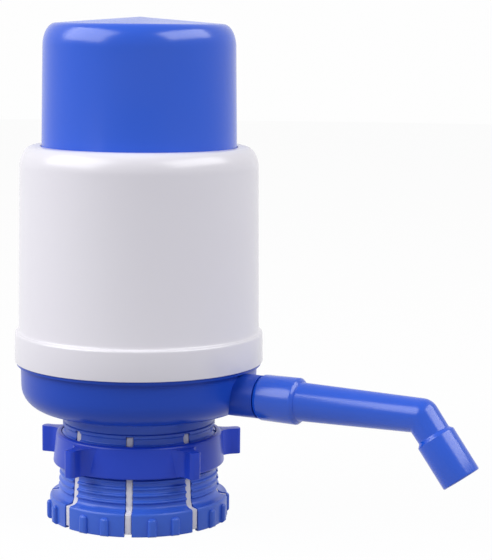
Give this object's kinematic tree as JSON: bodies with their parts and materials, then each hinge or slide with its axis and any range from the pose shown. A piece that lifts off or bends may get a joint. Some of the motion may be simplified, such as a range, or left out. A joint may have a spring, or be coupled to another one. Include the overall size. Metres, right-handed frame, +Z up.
{
  "type": "water jug hand pump",
  "caption": "Hand pump that clamps on a water jug's neck, with a press cap over a bellows, a drum housing, a split collet with a wing ring and a swivelling bent spout.",
  "frame": {"origin": "centre of the jug neck's opening, on the plane under the collet's foot", "axes": "+Z up along the pump's axis, +X along the spout"},
  "size_m": [0.2005, 0.102, 0.2055],
  "materials": {
    "blue_shell": "gloss",
    "blue_frame": "gloss",
    "white_shell": "gloss",
    "white_inner": "satin",
    "bellows": "satin",
    "soft_white": "matte",
    "soft_dark": "matte",
    "steel": "bright"
  },
  "bodies": {
    "pump_body": {"base": "blue_frame", "housing": "white_shell", "collet": "blue_frame", "neck_seal": "soft_white", "mouth_gasket": "soft_white", "collet_screws": "steel", "valve_plate": "white_inner", "plate_gasket": "soft_dark", "plate_screws": "steel", "outlet_valve": "soft_dark", "bellows": "bellows", "bellows_clamp": "white_inner", "return_spring": "steel", "spout_oring": "soft_dark"},
    "cap": {"press_cap": "blue_shell", "inlet_plate": "white_inner", "inlet_ring": "white_inner", "inlet_valve": "soft_dark"},
    "ring": {"clamp_ring": "blue_frame"},
    "spout": {"spout": "blue_shell"}
  },
  "joints": [
    {"name": "press_stroke", "type": "slide", "parent": "pump_body", "child": "cap", "axis": [0, 0, -1], "range_m": [0, 0.042], "stiffness_N_per_m": 400, "springref_m": -0.012, "deforming": ["bellows", "return_spring"]},
    {"name": "ring_turn", "type": "hinge", "parent": "pump_body", "child": "ring", "pos_m": [0, 0, 0.029], "axis": [0, 0, 1], "range_deg": [-1080, 540]},
    {"name": "spout_swivel", "type": "hinge", "parent": "pump_body", "child": "spout", "pos_m": [0.065, 0, 0.0555], "axis": [1, 0, 0], "continuous": true}
  ]
}
